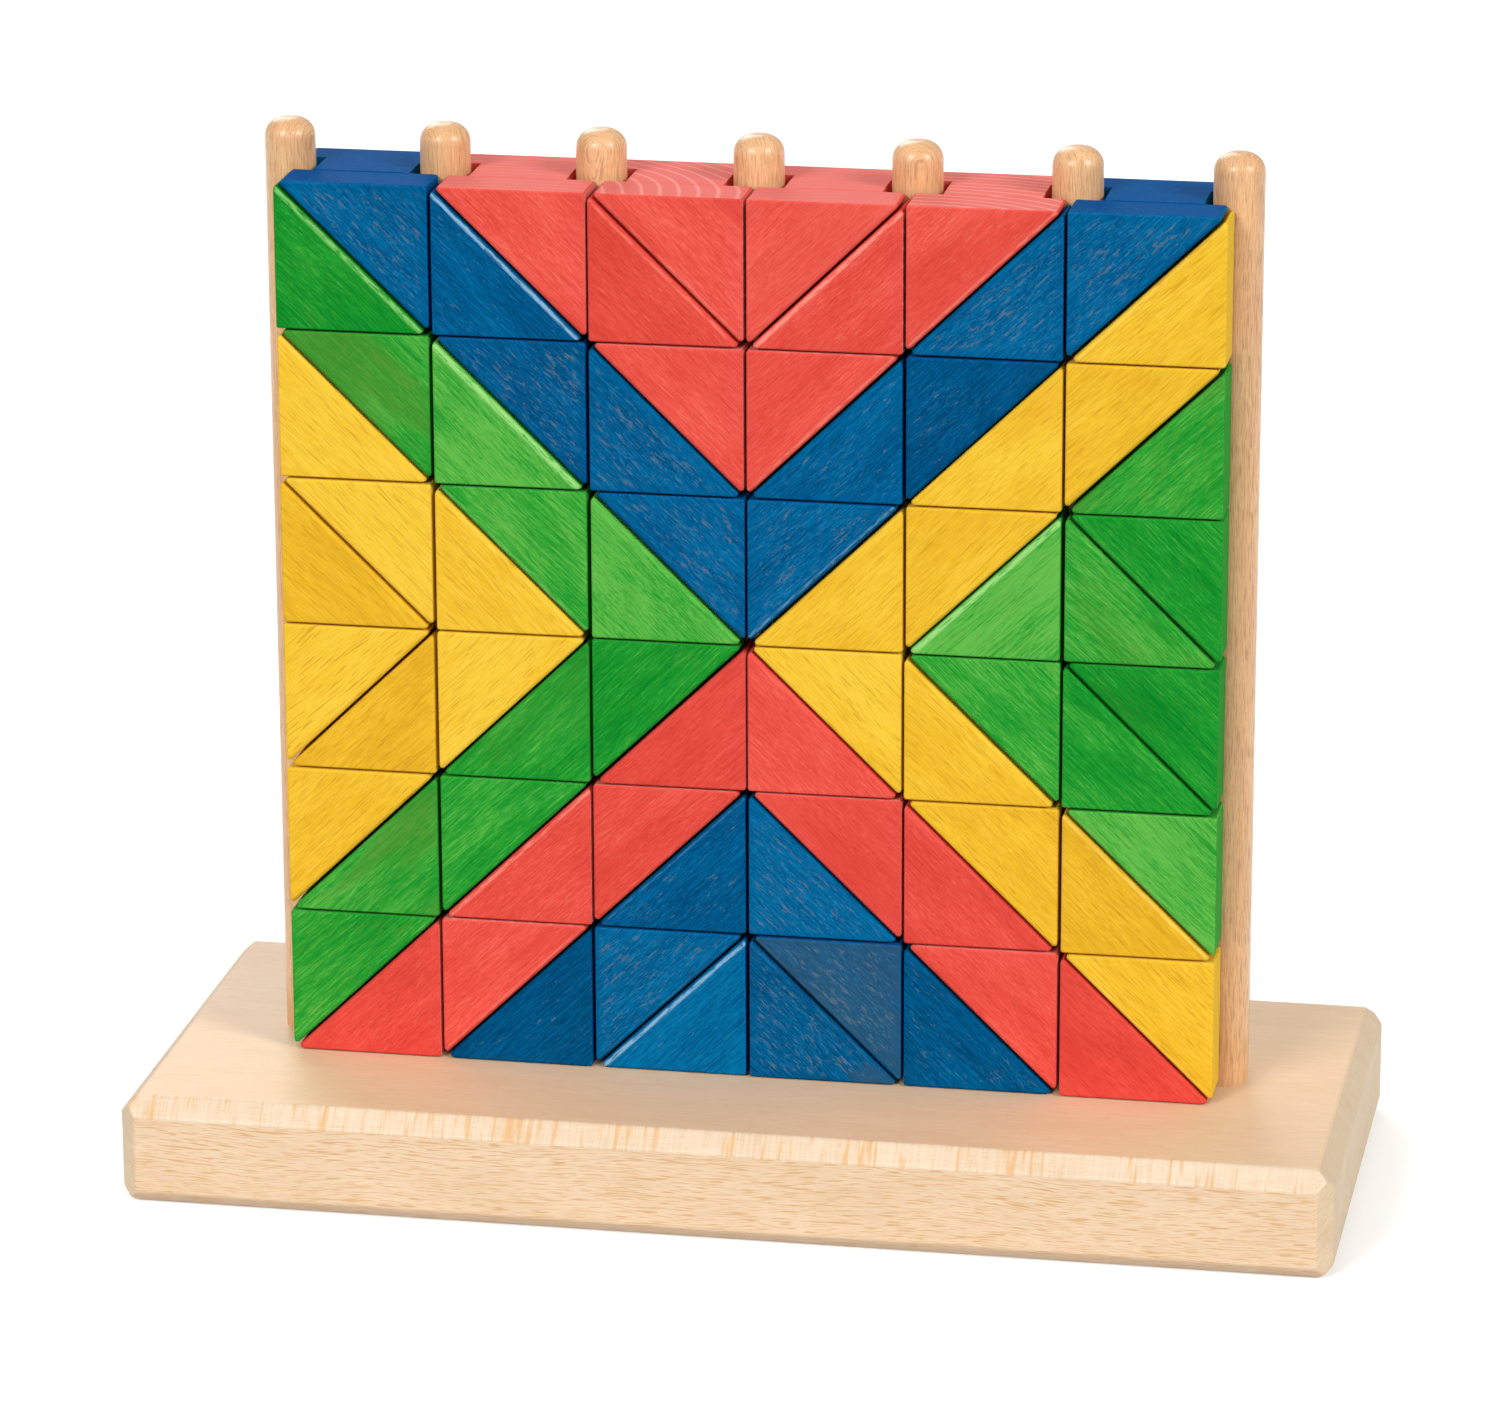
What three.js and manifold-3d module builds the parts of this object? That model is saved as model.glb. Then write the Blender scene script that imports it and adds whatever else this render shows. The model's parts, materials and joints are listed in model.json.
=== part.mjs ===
// Wooden stacking triangle mosaic: a chamfered beech board with a row of upright dowels, and
// right-triangular prism blocks, slotted at both ends, that thread down between the dowels.
// Millimetres, +Z up, +X along the dowel row, -Y towards the front. The origin is the centre of
// the board's underside.
import * as THREE from 'three';
import { ConvexGeometry } from 'three/addons/geometries/ConvexGeometry.js';
import { mergeVertices } from 'three/addons/utils/BufferGeometryUtils.js';
import Module from 'manifold-3d';

// ---- driving dimensions ----
const BASE_LENGTH = 242;
const BASE_DEPTH = 100;
const BASE_HEIGHT = 22;
const BASE_CHAMFER_TOP = 3.4;
const BASE_CHAMFER_CORNER = 3.3;
const BASE_CHAMFER_BOTTOM = 2.5;

const PITCH = 31.2; // distance between neighbouring dowels, so the width of one column
const DOWEL_RADIUS = 5;
const DOWEL_STANDS = 189; // how far a dowel stands above the board
const DOWEL_SUNK = 15; // how far it goes into the board
const DOWEL_GLUE_GAP = 0.05;
const DOWEL_DOME = 3.7; // height of the rounded end
const DOWEL_FLAT_RADIUS = 1.1; // small flat left on top of the dome
const DOWEL_FOOT_CHAMFER = 0.6;
const DOWEL_SEGMENTS = 40;

const ROW_HEIGHT = 30;
const BLOCK_DEPTH = 30;
const BLOCK_FRONT_Y = -16;
const SIDE_GAP = 0.2; // from a block's end to the centreline of its dowel
const STACK_GAP = 0.3; // between stacked blocks
const TIP_BLUNT = 1; // flat left on the two acute tips
const EDGE_CHAMFER = 0.75; // on the edges round the front and back faces, and the square corner
const SLOT_REACH = 6; // from the dowel's centreline to the slot's inner wall
const SLOT_WIDTH = 11.2;

const COLORS = {
  r: { slot: 'red_stain', color: 0xe2493b },
  b: { slot: 'blue_stain', color: 0x13589a },
  g: { slot: 'green_stain', color: 0x3fa63c },
  y: { slot: 'yellow_stain', color: 0xf6c832 },
};

// The starting pattern, top row first. A cell is two blocks that meet on its diagonal: the side on
// which the lower block's upright leg stands (L or R), the lower block's colour, the upper one's.
const PATTERN = [
  ['Lgb', 'Lbr', 'Lrr', 'Rrr', 'Rbr', 'Ryb'],
  ['Lyg', 'Lgb', 'Lbr', 'Rbr', 'Ryb', 'Rgy'],
  ['Lyy', 'Lyg', 'Lgb', 'Ryb', 'Rgy', 'Lgg'],
  ['Ryy', 'Rgy', 'Rrg', 'Lry', 'Lyg', 'Lgg'],
  ['Rgy', 'Rrg', 'Rbr', 'Lbr', 'Lry', 'Lyg'],
  ['Rrg', 'Rbr', 'Rbb', 'Lbb', 'Lbr', 'Lry'],
];
// How many row boundaries, counted from the bottom, have their two like-coloured blocks made as one
// piece in each column.
const JOINED_BOUNDARIES = [4, 3, 3, 3, 3, 4];

const ROWS = PATTERN.length;
const COLUMNS = PATTERN[0].length;
const BLOCK_WIDTH = PITCH - 2 * SIDE_GAP;
const BLOCK_HEIGHT = ROW_HEIGHT - STACK_GAP;

// ---- solids ----
const wasm = await Module();
wasm.setup();

function toManifold(geometry) {
  const bare = geometry.clone();
  bare.deleteAttribute('normal');
  bare.deleteAttribute('uv');
  const merged = mergeVertices(bare, 1e-4);
  const solid = new wasm.Manifold(new wasm.Mesh({
    numProp: 3,
    vertProperties: new Float32Array(merged.attributes.position.array),
    triVerts: new Uint32Array(merged.index.array),
  }));
  return solid;
}

function toGeometry(solid) {
  const mesh = solid.getMesh();
  const geometry = new THREE.BufferGeometry();
  geometry.setAttribute('position', new THREE.BufferAttribute(mesh.vertProperties, 3));
  geometry.setIndex(new THREE.BufferAttribute(mesh.triVerts, 1));
  const faceted = geometry.toNonIndexed();
  faceted.computeVertexNormals();
  return faceted;
}

function boxSolid(low, high) {
  const geometry = new THREE.BoxGeometry(high[0] - low[0], high[1] - low[1], high[2] - low[2]);
  geometry.translate((low[0] + high[0]) / 2, (low[1] + high[1]) / 2, (low[2] + high[2]) / 2);
  return toManifold(geometry);
}

// ---- base board ----
// The points of one corner: the flat face's corner, the point where three chamfers meet, and where
// the upright chamfer ends on each side face.
function baseCorner(sx, sy, zFlat, zInward, chamfer) {
  const x = BASE_LENGTH / 2;
  const y = BASE_DEPTH / 2;
  const cv = BASE_CHAMFER_CORNER;
  const at = (inX, inY, inZ) => new THREE.Vector3(sx * (x - inX), sy * (y - inY), zFlat + zInward * inZ);
  return [
    at(chamfer, chamfer, 0),
    at(cv / 2, cv / 2, chamfer - cv / 2),
    at(cv, 0, chamfer),
    at(0, cv, chamfer),
  ];
}

function baseGeometry() {
  const points = [];
  for (const sx of [-1, 1]) {
    for (const sy of [-1, 1]) {
      points.push(...baseCorner(sx, sy, BASE_HEIGHT, -1, BASE_CHAMFER_TOP));
      points.push(...baseCorner(sx, sy, 0, 1, BASE_CHAMFER_BOTTOM));
    }
  }
  let board = toManifold(new ConvexGeometry(points));
  const boreRadius = DOWEL_RADIUS + DOWEL_GLUE_GAP;
  const boreDepth = DOWEL_SUNK + 0.5;
  const boreTop = 2;
  const bore = new THREE.CylinderGeometry(boreRadius, boreRadius, boreDepth + boreTop, DOWEL_SEGMENTS);
  bore.rotateX(Math.PI / 2);
  bore.translate(0, 0, BASE_HEIGHT - boreDepth / 2 + boreTop / 2);
  for (let i = 0; i <= COLUMNS; i += 1) {
    const placed = bore.clone().translate(dowelX(i), 0, 0);
    board = board.subtract(toManifold(placed));
  }
  return toGeometry(board);
}

// ---- dowels ----
function dowelX(i) {
  return (i - COLUMNS / 2) * PITCH;
}

function dowelGeometry() {
  const top = DOWEL_SUNK + DOWEL_STANDS;
  const profile = [
    new THREE.Vector2(0, 0),
    new THREE.Vector2(DOWEL_RADIUS - DOWEL_FOOT_CHAMFER, 0),
    new THREE.Vector2(DOWEL_RADIUS, DOWEL_FOOT_CHAMFER),
  ];
  const steps = 5;
  for (let i = 0; i <= steps; i += 1) {
    const t = (i / steps) * (Math.PI / 2);
    const r = DOWEL_FLAT_RADIUS + (DOWEL_RADIUS - DOWEL_FLAT_RADIUS) * Math.cos(t);
    profile.push(new THREE.Vector2(r, top - DOWEL_DOME + DOWEL_DOME * Math.sin(t)));
  }
  profile.push(new THREE.Vector2(0, top));
  const geometry = new THREE.LatheGeometry(profile, DOWEL_SEGMENTS);
  geometry.rotateX(Math.PI / 2);
  return geometry;
}

// ---- blocks ----
// Outline of a block in its cell, from the square corner at (0, 0): u along the level leg, v up
// the upright leg. The hypotenuse keeps half the stack gap from the cell's diagonal.
function blockOutline() {
  const w = BLOCK_WIDTH;
  const h = BLOCK_HEIGHT;
  const shy = (STACK_GAP / 2) * Math.hypot(w, h) / (w * h);
  return [
    [EDGE_CHAMFER, 0],
    [w * (1 - shy - TIP_BLUNT / h), 0],
    [w * (1 - shy - TIP_BLUNT / h), TIP_BLUNT],
    [TIP_BLUNT, h * (1 - shy - TIP_BLUNT / w)],
    [0, h * (1 - shy - TIP_BLUNT / w)],
    [0, EDGE_CHAMFER],
  ];
}

// The outline moved in by a distance, edge by edge. Edges run anticlockwise.
function inset(outline, distance) {
  const n = outline.length;
  const lines = outline.map((p, i) => {
    const q = outline[(i + 1) % n];
    const length = Math.hypot(q[0] - p[0], q[1] - p[1]);
    const normal = [-(q[1] - p[1]) / length, (q[0] - p[0]) / length];
    return [normal[0], normal[1], normal[0] * p[0] + normal[1] * p[1] + distance];
  });
  return lines.map((b, i) => {
    const a = lines[(i + n - 1) % n];
    const det = a[0] * b[1] - a[1] * b[0];
    return [(a[2] * b[1] - a[1] * b[2]) / det, (a[0] * b[2] - a[2] * b[0]) / det];
  });
}

// A block without its slots. leg is the side of the upright leg, flat is 'down' for a block that
// lies on its level face and 'up' for one that hangs its point down. z is the level face's height.
function blankSolid(leg, flat, z) {
  const side = leg === 'L' ? -1 : 1;
  const rise = flat === 'down' ? 1 : -1;
  const outline = blockOutline();
  const inner = inset(outline, EDGE_CHAMFER);
  const points = [];
  const ring = (shape, y) => {
    for (const [u, v] of shape) {
      points.push(new THREE.Vector3(side * (BLOCK_WIDTH / 2 - u), y, z + rise * v));
    }
  };
  ring(inner, BLOCK_FRONT_Y);
  ring(outline, BLOCK_FRONT_Y + EDGE_CHAMFER);
  ring(outline, BLOCK_FRONT_Y + BLOCK_DEPTH - EDGE_CHAMFER);
  ring(inner, BLOCK_FRONT_Y + BLOCK_DEPTH);
  return toManifold(new ConvexGeometry(points));
}

function cutSlots(solid) {
  let cut = solid;
  for (const side of [-1, 1]) {
    const x = side * PITCH / 2;
    const low = [x - SLOT_REACH, -SLOT_WIDTH / 2, -2 * ROW_HEIGHT];
    const high = [x + SLOT_REACH, SLOT_WIDTH / 2, 2 * ROW_HEIGHT];
    cut = cut.subtract(boxSolid(low, high));
  }
  return cut;
}

// One block, from its cell's floor (z = 0). flat 'up' hangs from the cell's ceiling.
function singleGeometry(leg, flat) {
  const z = flat === 'down' ? STACK_GAP / 2 : ROW_HEIGHT - STACK_GAP / 2;
  return toGeometry(cutSlots(blankSolid(leg, flat, z)));
}

// Two like-coloured blocks made as one: the upper block of one cell, and the lower block of the
// cell above. z = 0 is the floor of the lower cell. A web across the stack gap joins them.
function pairGeometry(legBelow, legAbove) {
  const below = blankSolid(legBelow, 'up', ROW_HEIGHT - STACK_GAP / 2);
  const above = blankSolid(legAbove, 'down', ROW_HEIGHT + STACK_GAP / 2);
  const half = BLOCK_WIDTH / 2 - 2;
  const web = boxSolid(
    [-half, BLOCK_FRONT_Y + EDGE_CHAMFER, ROW_HEIGHT - STACK_GAP],
    [half, BLOCK_FRONT_Y + BLOCK_DEPTH - EDGE_CHAMFER, ROW_HEIGHT + STACK_GAP],
  );
  return toGeometry(cutSlots(below.add(above).add(web)));
}

// ---- assembly ----
const materials = {};
for (const [key, { slot, color }] of Object.entries(COLORS)) {
  materials[key] = new THREE.MeshStandardMaterial({ name: slot, color, roughness: 0.55, metalness: 0 });
}
const beech = (name, color, roughness) => (
  new THREE.MeshStandardMaterial({ name, color, roughness, metalness: 0 })
);

function addMesh(parent, name, geometry, material, position) {
  const mesh = new THREE.Mesh(geometry, material.clone());
  mesh.name = name;
  mesh.position.set(...position);
  parent.add(mesh);
  return mesh;
}

const model = new THREE.Group();
model.name = 'stacking_triangle_mosaic';

const stand = new THREE.Group();
stand.name = 'stand';
model.add(stand);
addMesh(stand, 'base', baseGeometry(), beech('base_beech', 0xe6cba4, 0.6), [0, 0, 0]);
const dowel = dowelGeometry();
const dowelMaterial = beech('dowel_beech', 0xdcb482, 0.4);
for (let i = 0; i <= COLUMNS; i += 1) {
  addMesh(stand, `dowel_${i + 1}`, dowel, dowelMaterial, [dowelX(i), 0, BASE_HEIGHT - DOWEL_SUNK]);
}

// The side on which a cell's upper block has its leg: opposite the lower block's.
const OPPOSITE = { L: 'R', R: 'L' };

for (let column = 0; column < COLUMNS; column += 1) {
  const stack = new THREE.Group();
  stack.name = `column_${column + 1}`;
  stack.position.set((dowelX(column) + dowelX(column + 1)) / 2, 0, BASE_HEIGHT);
  model.add(stack);
  for (let level = 0; level < ROWS; level += 1) {
    const row = ROWS - level;
    const [leg, lower, upper] = PATTERN[row - 1][column];
    const floor = [0, 0, level * ROW_HEIGHT];
    const prefix = `block_c${column + 1}_r${row}`;
    if (level === 0 || level > JOINED_BOUNDARIES[column]) {
      addMesh(stack, `${prefix}_lower`, singleGeometry(leg, 'down'), materials[lower], floor);
    }
    if (level < JOINED_BOUNDARIES[column]) {
      const legAbove = PATTERN[row - 2][column][0];
      const pair = pairGeometry(OPPOSITE[leg], legAbove);
      addMesh(stack, `${prefix}_pair`, pair, materials[upper], floor);
    } else {
      addMesh(stack, `${prefix}_upper`, singleGeometry(OPPOSITE[leg], 'up'), materials[upper], floor);
    }
  }
}

export default model;
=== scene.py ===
"""Looks of the wooden stacking triangle mosaic: a beech board, seven dowels and 72 stained blocks."""

import json
import math
import random

import bmesh
import bpy
from mathutils import Matrix, Vector

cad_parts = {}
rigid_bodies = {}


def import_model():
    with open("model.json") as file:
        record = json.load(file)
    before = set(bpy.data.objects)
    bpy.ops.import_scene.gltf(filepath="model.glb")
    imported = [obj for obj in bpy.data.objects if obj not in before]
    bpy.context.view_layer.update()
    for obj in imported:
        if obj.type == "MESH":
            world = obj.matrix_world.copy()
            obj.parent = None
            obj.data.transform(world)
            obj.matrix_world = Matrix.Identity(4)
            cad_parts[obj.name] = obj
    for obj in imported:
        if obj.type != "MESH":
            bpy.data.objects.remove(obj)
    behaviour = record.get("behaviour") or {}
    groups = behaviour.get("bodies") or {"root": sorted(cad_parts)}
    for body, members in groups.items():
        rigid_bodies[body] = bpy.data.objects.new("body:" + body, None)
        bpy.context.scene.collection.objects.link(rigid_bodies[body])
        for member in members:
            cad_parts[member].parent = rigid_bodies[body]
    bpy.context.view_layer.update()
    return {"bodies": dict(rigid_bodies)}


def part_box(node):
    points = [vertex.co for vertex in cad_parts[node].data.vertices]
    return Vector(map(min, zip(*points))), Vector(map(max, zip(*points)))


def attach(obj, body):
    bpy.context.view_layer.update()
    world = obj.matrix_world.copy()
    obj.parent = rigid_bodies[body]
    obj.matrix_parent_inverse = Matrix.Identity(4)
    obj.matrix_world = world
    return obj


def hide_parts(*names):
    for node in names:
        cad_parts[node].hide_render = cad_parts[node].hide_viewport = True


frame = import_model()
MM = 0.001

# ---- the blocks' pattern, top row first ----
# A cell is two blocks that meet on its diagonal: the side of the lower block's upright leg,
# the lower block's colour and the upper block's colour.
PATTERN = [
    ["Lgb", "Lbr", "Lrr", "Rrr", "Rbr", "Ryb"],
    ["Lyg", "Lgb", "Lbr", "Rbr", "Ryb", "Rgy"],
    ["Lyy", "Lyg", "Lgb", "Ryb", "Rgy", "Lgg"],
    ["Ryy", "Rgy", "Rrg", "Lry", "Lyg", "Lgg"],
    ["Rgy", "Rrg", "Rbr", "Lbr", "Lry", "Lyg"],
    ["Rrg", "Rbr", "Rbb", "Lbb", "Lbr", "Lry"],
]
ROWS = len(PATTERN)
COLUMNS = len(PATTERN[0])
COLOR_NAMES = {"r": "red", "b": "blue", "g": "green", "y": "yellow"}

# Blocks whose stain is striking: how pale, how bare and how worn it is, from 0 to 1.
STRIKING = {
    "c1_r1_lower": (0.15, 0.30, 0.80),
    "c1_r1_upper": (0.50, 0.90, 0.30),
    "c2_r1_lower": (0.35, 0.30, 1.00),
    "c2_r2_lower": (0.85, 0.45, 0.95),
    "c2_r2_upper": (0.20, 0.90, 0.30),
    "c3_r2_lower": (0.55, 0.90, 0.40),
    "c3_r3_upper": (0.50, 0.88, 0.40),
    "c4_r2_lower": (0.45, 0.45, 0.40),
    "c5_r1_lower": (0.60, 0.90, 0.50),
    "c5_r2_upper": (0.00, 0.20, 0.30),
    "c6_r1_upper": (0.65, 0.90, 0.40),
    "c6_r2_lower": (0.55, 0.95, 0.40),
    "c2_r6_lower": (0.00, 0.30, 0.20),
    "c3_r6_upper": (0.60, 0.88, 0.60),
    "c4_r6_lower": (0.25, 0.95, 0.60),
    "c4_r6_upper": (0.45, 0.95, 0.60),
    "c5_r6_lower": (0.10, 0.45, 0.50),
}

# ---- sizes of the blocks, in mm ----
CAD_STACK_GAP = 0.3  # between level faces in the CAD
STACK_GAP = 0.42  # between level faces here
SLANT_GAP = 0.54  # between slants
SIDE_GAP = 0.3  # from a block's end to its column's border
WEB_GAP = 0.12  # between blocks where they are fullest, between the slots
SLOT_REACH = 6.0  # a slot's depth from the dowel's centreline
SLOT_HALF = 5.6  # half a slot's width
CORNER_RADII = (0.5, 0.55, 0.55)  # of a face's outline: at the square corner and the two sharp ones
CORNER_STEPS = 3
LEG_RADIUS = 0.45  # of the arrises along the legs
SLANT_RADII = (0.75, 1.0)  # least and most for the arrises along the slant
EDGE_ANGLES = (0, 12, 25, 38, 52, 70, 90)  # the steps of an arris's quarter round, in degrees

# Hand-stacked blocks never line up quite evenly: the most they are out, in mm and degrees.
SWAY_X = 0.08
SWAY_Y = 0.18
TURN = 0.3


def edge_profile(slant_radius):
    """How far a block's outline stops short of its legs and its slant, at each depth below a face.

    Every arris of a face is a quarter round, a wide one at the slant and a small one at the legs.
    """
    rings = []
    for degrees in EDGE_ANGLES:
        angle = math.radians(degrees)
        depth = slant_radius * (1 - math.cos(angle))
        left = max(LEG_RADIUS - depth, 0)
        leg_in = LEG_RADIUS - math.sqrt(LEG_RADIUS ** 2 - left ** 2)
        rings.append((leg_in, slant_radius * (1 - math.sin(angle)), depth))
    return rings


def box_mm(node):
    low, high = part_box(node)
    return low / MM, high / MM


_, base_high = box_mm("base")
dowel_x = [sum(corner.x for corner in box_mm(f"dowel_{i + 1}")) / 2 for i in range(COLUMNS + 1)]
pitch = (dowel_x[-1] - dowel_x[0]) / COLUMNS
block_low, block_high = box_mm("block_c1_r1_upper")
row_height = (block_high.z + CAD_STACK_GAP / 2 - base_high.z) / ROWS
front_y = block_low.y
back_y = block_high.y
block_width = pitch - 2 * SIDE_GAP
block_height = row_height - STACK_GAP


# ---- node helpers ----
def srgb(r, g, b):
    """Linear colour of an sRGB colour given as 0 to 255."""
    def linear(c):
        c /= 255
        return c / 12.92 if c <= 0.04045 else ((c + 0.055) / 1.055) ** 2.4
    return (linear(r), linear(g), linear(b), 1.0)


# A Mix node has sockets for every data type; these are the factor and the two colours.
MIX_COLOR_INPUTS = (0, 6, 7)
MIX_COLOR_OUTPUT = 2


class Tree:
    """Short calls that add nodes to a material."""

    def __init__(self, name):
        self.material = bpy.data.materials.new(name)
        self.material.use_nodes = True
        self.nodes = self.material.node_tree.nodes
        self.links = self.material.node_tree.links
        self.shader = self.nodes["Principled BSDF"]

    def put(self, socket, value):
        """Links a socket, or sets a number or colour on it."""
        if isinstance(value, bpy.types.NodeSocket):
            self.links.new(value, socket)
        elif value is not None:
            socket.default_value = value

    def attribute(self, name):
        node = self.nodes.new("ShaderNodeAttribute")
        node.attribute_name = name
        return node.outputs["Vector"]

    def math(self, operation, a, b=None, c=None):
        node = self.nodes.new("ShaderNodeMath")
        node.operation = operation
        for socket, value in zip(node.inputs, (a, b, c)):
            self.put(socket, value)
        return node.outputs[0]

    def times(self, a, b):
        return self.math("MULTIPLY", a, b)

    def vector(self, operation, a, b=None):
        node = self.nodes.new("ShaderNodeVectorMath")
        node.operation = operation
        self.put(node.inputs[0], a)
        self.put(node.inputs[1], b)
        return node.outputs["Value" if operation == "LENGTH" else "Vector"]

    def split(self, vector):
        node = self.nodes.new("ShaderNodeSeparateXYZ")
        self.put(node.inputs[0], vector)
        return node.outputs[0], node.outputs[1], node.outputs[2]

    def join(self, x, y, z):
        node = self.nodes.new("ShaderNodeCombineXYZ")
        for socket, value in zip(node.inputs, (x, y, z)):
            self.put(socket, value)
        return node.outputs[0]

    def noise(self, vector, rates, detail=2.0, roughness=0.5, color=False):
        """Smooth noise, mostly near 0.5, whose humps follow each other at rates to a mm."""
        node = self.nodes.new("ShaderNodeTexNoise")
        self.put(node.inputs["Vector"], self.vector("MULTIPLY", vector, rates))
        node.inputs["Scale"].default_value = 1.0
        node.inputs["Detail"].default_value = detail
        node.inputs["Roughness"].default_value = roughness
        return node.outputs["Color" if color else "Fac"]

    def step(self, value, low, high, to_low=0.0, to_high=1.0):
        """A smooth step from to_low to to_high as value goes from low to high."""
        node = self.nodes.new("ShaderNodeMapRange")
        node.interpolation_type = "SMOOTHSTEP"
        for socket, v in zip(node.inputs, (value, low, high, to_low, to_high)):
            self.put(socket, v)
        return node.outputs["Result"]

    def mix(self, factor, a, b):
        """Colour a where factor is 0, and b where it is 1."""
        node = self.nodes.new("ShaderNodeMix")
        node.data_type = "RGBA"
        node.clamp_factor = True
        for index, value in zip(MIX_COLOR_INPUTS, (factor, a, b)):
            self.put(node.inputs[index], value)
        return node.outputs[MIX_COLOR_OUTPUT]

    def paint(self, color, over, mask, share):
        """The colour with another one over it, as strongly as the mask and the share say."""
        return self.mix(self.times(mask, share), color, over)

    def ramp(self, factor, stops):
        node = self.nodes.new("ShaderNodeValToRGB")
        elements = node.color_ramp.elements
        while len(elements) < len(stops):
            elements.new(0.5)
        for element, (position, color) in zip(elements, stops):
            element.position = position
            element.color = color
        self.put(node.inputs["Fac"], factor)
        return node.outputs["Color"]

    def bump(self, height, strength, distance):
        node = self.nodes.new("ShaderNodeBump")
        node.inputs["Strength"].default_value = strength
        node.inputs["Distance"].default_value = distance
        self.put(node.inputs["Height"], height)
        self.put(self.shader.inputs["Normal"], node.outputs["Normal"])


# ---- wood ----
# The point attribute "wood" holds a point in the timber's own axes, in mm: x along the grain,
# y and z across it from the tree's heart. Pieces are cut with y nearly along the tree's radius.
# "cell" holds a point in a block's own axes, in mm: x along the level leg, y up the upright leg, z
# from the front face back. "edge" holds the radius of the slant's arrises, in mm, as its x. "tone"
# holds how pale, how bare and how worn a block is, from 0 to 1. Both are the same all over a piece.
RING_WIDTH = 2.6  # mm
FLECK_BORDER = 0.07  # how soft the border of a ray's fleck is
BUMP_DEPTH = 0.0001  # m

# The rates of the noises that "wood" feeds: along the grain and, twice, across it.
BEND_RATES = (0.02, 0.05, 0.05)
FIBRE_RATES = (0.5, 9.0, 9.0)
STREAK_RATES = (0.1, 3.2, 3.2)
YEAR_RATES = (0.03, 0.05, 0.05)
BLOTCH_RATES = (0.05, 0.14, 0.14)
BAND_RATES = (0.015, 0.07, 0.07)
DASHED_RATES = (0.06, 0.16, 0.16)
FLAKE_RATES = (0.32, 1.5, 1.5)
RUB_RATES = (0.3, 2.4, 2.4)
STAINED_RAY_RATES = (0.2, 0.5, 6.5)
BARE_RAY_RATES = (0.24, 0.4, 8.0)
BARE_DASH_RATES = (0.5, 7.0)
# The same on a face along the tree's radius: of its lines, of the rays' flat sides and of where there
# are more of these.
QUARTER_LINE_RATES = (2.6, 0.05, 0.3)
QUARTER_SPOT_RATES = (0.9, 0.10, 0.3)
QUARTER_NEAR_RATES = (0.06, 0.0, 0.0)
# The rates of scratches on a face that cuts the grain, in the block's own axes.
SCRATCH_RATES = (0.35, 5.0, 5.0)


def beech_figure(t, wood, dash_rates, ray_rates, ray_low):
    """The figure of beech, each part from 0 to 1.

    fibre is the fine grain, streak the long bands, dash the pores' short lines, ray the flecks of the
    medullary rays, rings the growth rings' late wood and blotch the slow change of colour. dash_rates
    and ray_rates say how closely dashes and rays follow each other, to a mm: along the grain and
    across it, and for rays along the tree's radius between the two. The lower ray_low is, the more
    rays show.
    """
    bend = t.vector("SUBTRACT", t.noise(wood, BEND_RATES, 1, color=True), (0.5, 0.5, 0.5))
    bent = t.vector("ADD", wood, t.vector("MULTIPLY", bend, (0.0, 4.0, 4.0)))
    fibre = t.noise(bent, FIBRE_RATES, 2, 0.6)
    streak = t.noise(bent, STREAK_RATES, 2, 0.55)
    along, across = dash_rates
    dash = t.step(t.noise(bent, (along, across, across), 1), 0.56, 0.70)
    ray = t.step(t.noise(bent, ray_rates, 0.5), ray_low, ray_low + FLECK_BORDER)
    _, y, z = t.split(wood)
    radius = t.vector("LENGTH", t.join(0.0, y, z))
    year = t.math("ADD", t.math("DIVIDE", radius, RING_WIDTH), t.noise(wood, YEAR_RATES, 1))
    rings = t.step(t.math("PINGPONG", year, 0.5), 0.32, 0.5)
    blotch = t.noise(wood, BLOTCH_RATES, 2)
    return fibre, streak, dash, ray, rings, blotch


def edge_distance(t, cell):
    """Distances in mm from a point on a block: to the nearest arris, the slant, a face and a leg."""
    u, v, y = t.split(cell)
    w, h = block_width, block_height
    diagonal = math.hypot(w, h)
    slant = t.math("SUBTRACT", w * h / diagonal - SLANT_GAP / 2, t.times(u, h / diagonal))
    slant = t.math("SUBTRACT", slant, t.times(v, w / diagonal))
    face = t.math("MINIMUM", y, t.math("SUBTRACT", back_y - front_y, y))
    sides = (u, v, slant, face)
    arris = None
    for i, a in enumerate(sides):
        for b in sides[i + 1:]:
            pair = t.math("ADD", a, b)
            arris = pair if arris is None else t.math("MINIMUM", arris, pair)
    return arris, slant, face, t.math("MINIMUM", u, v)


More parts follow.
